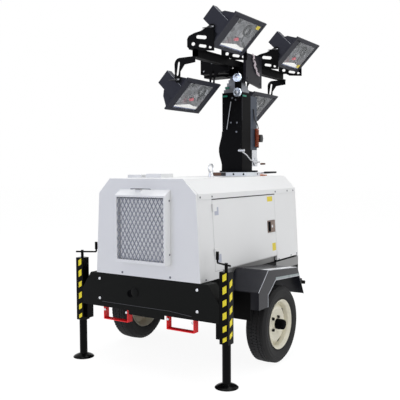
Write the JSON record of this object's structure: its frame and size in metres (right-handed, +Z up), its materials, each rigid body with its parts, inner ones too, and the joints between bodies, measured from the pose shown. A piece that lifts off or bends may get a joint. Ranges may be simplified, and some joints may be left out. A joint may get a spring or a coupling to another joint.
{
  "type": "mobile light tower",
  "caption": "Single-axle trailer with a canopied generator, front and rear stand jacks, and a turning telescopic mast with tilting floodlights.",
  "frame": {"origin": "centre of the box's base, on the ground", "axes": "+Z up, -Y out of the canopy's air outlet, +Y along the drawbar, +X to the right seen from the air outlet's end looking along +Y"},
  "size_m": [1.343, 2.5104, 2.4204],
  "materials": {
    "canopy_white": "gloss",
    "frame_black": "satin",
    "fender_grey": "satin",
    "lamp_grey": "satin",
    "guard_red": "gloss",
    "jack_black": "satin",
    "rim_cream": "satin",
    "tyre_rubber": "matt",
    "steel_zinc": "satin",
    "mast_steel": "satin",
    "mesh_grey": "satin",
    "lamp_glass": "clear",
    "pulley_blue": "matt"
  },
  "bodies": {
    "trailer": {"chassis_frame": "frame_black", "front_beam": "frame_black", "axle": "frame_black", "power_unit": "frame_black", "fork_guard_front_l": "guard_red", "fork_guard_front_r": "guard_red", "fork_guard_rear_l": "guard_red", "fork_guard_rear_r": "guard_red", "fender_l": "fender_grey", "fender_r": "fender_grey", "jack_tube_l": "jack_black", "jack_tube_r": "jack_black", "parking_jack_tube": "jack_black", "canopy_front": "canopy_white", "canopy_rear": "canopy_white", "canopy_side_l": "canopy_white", "canopy_side_r": "canopy_white", "canopy_roof": "canopy_white", "grille_frame": "canopy_white", "lifting_eye": "steel_zinc", "radiator": "steel_zinc", "slewing_base": "steel_zinc", "grille_mesh": "mesh_grey"},
    "wheel_l": {"tyre_l": "tyre_rubber", "wheel_rim_l": "rim_cream"},
    "wheel_r": {"tyre_r": "tyre_rubber", "wheel_rim_r": "rim_cream"},
    "jack_foot_l": {"jack_leg_l": "jack_black"},
    "jack_foot_r": {"jack_leg_r": "jack_black"},
    "parking_foot": {"parking_jack_leg": "jack_black"},
    "drawbar": {"drawbar": "frame_black"},
    "door_l": {"door_l": "canopy_white", "door_latch_l": "steel_zinc"},
    "door_r": {"door_r": "canopy_white", "door_latch_r": "steel_zinc"},
    "mast": {"mast_column": "frame_black", "mast_cheek_plate": "frame_black", "mast_back_channel": "mast_steel", "mast_winch": "steel_zinc", "mast_sheaves": "pulley_blue"},
    "section_1": {"mast_section_1": "mast_steel"},
    "section_2": {"mast_section_2": "mast_steel"},
    "section_3": {"mast_section_3": "mast_steel"},
    "section_4": {"mast_section_4": "mast_steel"},
    "section_5": {"mast_section_5": "mast_steel", "head_block": "frame_black", "head_plate": "lamp_grey", "head_beam": "frame_black", "stirrup_upper_l": "frame_black", "stirrup_upper_r": "frame_black", "stirrup_lower_l": "frame_black", "stirrup_lower_r": "frame_black"},
    "lamp_upper_l": {"lamp_housing_upper_l": "lamp_grey", "lamp_glass_upper_l": "lamp_glass"},
    "lamp_upper_r": {"lamp_housing_upper_r": "lamp_grey", "lamp_glass_upper_r": "lamp_glass"},
    "lamp_lower_l": {"lamp_housing_lower_l": "lamp_grey", "lamp_glass_lower_l": "lamp_glass"},
    "lamp_lower_r": {"lamp_housing_lower_r": "lamp_grey", "lamp_glass_lower_r": "lamp_glass"}
  },
  "joints": [
    {"name": "wheel_spin_l", "type": "hinge", "parent": "trailer", "child": "wheel_l", "pos_m": [-0.577, -0.54824, 0.26], "axis": [1, 0, 0], "continuous": true},
    {"name": "wheel_spin_r", "type": "hinge", "parent": "trailer", "child": "wheel_r", "pos_m": [0.577, -0.54824, 0.26], "axis": [1, 0, 0], "continuous": true},
    {"name": "jack_slide_l", "type": "slide", "parent": "trailer", "child": "jack_foot_l", "axis": [0, 0, 1], "range_m": [-0.12, 0.23]},
    {"name": "jack_slide_r", "type": "slide", "parent": "trailer", "child": "jack_foot_r", "axis": [0, 0, 1], "range_m": [-0.12, 0.23]},
    {"name": "parking_jack_slide", "type": "slide", "parent": "trailer", "child": "parking_foot", "axis": [0, 0, 1], "range_m": [-0.1, 0.17]},
    {"name": "drawbar_hinge", "type": "hinge", "parent": "trailer", "child": "drawbar", "pos_m": [0, 0.30475, 0.455], "axis": [1, 0, 0], "range_deg": [0, 95]},
    {"name": "door_hinge_l", "type": "hinge", "parent": "trailer", "child": "door_l", "pos_m": [-0.41091, -1.01825, 0.9], "axis": [0.0574, 0, 0.9984], "range_deg": [0, 100]},
    {"name": "door_hinge_r", "type": "hinge", "parent": "trailer", "child": "door_r", "pos_m": [0.41091, -1.01825, 0.9], "axis": [0.0574, 0, -0.9984], "range_deg": [0, 100]},
    {"name": "mast_turn", "type": "hinge", "parent": "trailer", "child": "mast", "pos_m": [0, 0.00975, 1.25], "axis": [0, 0, 1], "range_deg": [-170, 170]},
    {"name": "mast_slide_1", "type": "slide", "parent": "mast", "child": "section_1", "axis": [0, 0, 1], "range_m": [0, 1.2]},
    {"name": "mast_slide_2", "type": "slide", "parent": "section_1", "child": "section_2", "axis": [0, 0, 1], "range_m": [0, 1.2]},
    {"name": "mast_slide_3", "type": "slide", "parent": "section_2", "child": "section_3", "axis": [0, 0, 1], "range_m": [0, 1.2]},
    {"name": "mast_slide_4", "type": "slide", "parent": "section_3", "child": "section_4", "axis": [0, 0, 1], "range_m": [0, 1.2]},
    {"name": "mast_slide_5", "type": "slide", "parent": "section_4", "child": "section_5", "axis": [0, 0, 1], "range_m": [0, 1.2]},
    {"name": "lamp_tilt_upper_l", "type": "hinge", "parent": "section_5", "child": "lamp_upper_l", "pos_m": [0.19279, -0.46025, 2.27081], "axis": [0, 1, 0], "range_deg": [-45, 40]},
    {"name": "lamp_tilt_upper_r", "type": "hinge", "parent": "section_5", "child": "lamp_upper_r", "pos_m": [0.19279, 0.51975, 2.27081], "axis": [0, 1, 0], "range_deg": [-45, 40]},
    {"name": "lamp_tilt_lower_l", "type": "hinge", "parent": "section_5", "child": "lamp_lower_l", "pos_m": [-0.09503, -0.46025, 1.939], "axis": [0, 1, 0], "range_deg": [-45, 40]},
    {"name": "lamp_tilt_lower_r", "type": "hinge", "parent": "section_5", "child": "lamp_lower_r", "pos_m": [-0.09503, 0.51975, 1.939], "axis": [0, 1, 0], "range_deg": [-45, 40]}
  ],
  "couplings": [
    {"joint": "mast_slide_2", "follows": "mast_slide_1", "ratio": 1},
    {"joint": "mast_slide_3", "follows": "mast_slide_1", "ratio": 1},
    {"joint": "mast_slide_4", "follows": "mast_slide_1", "ratio": 1},
    {"joint": "mast_slide_5", "follows": "mast_slide_1", "ratio": 1}
  ]
}
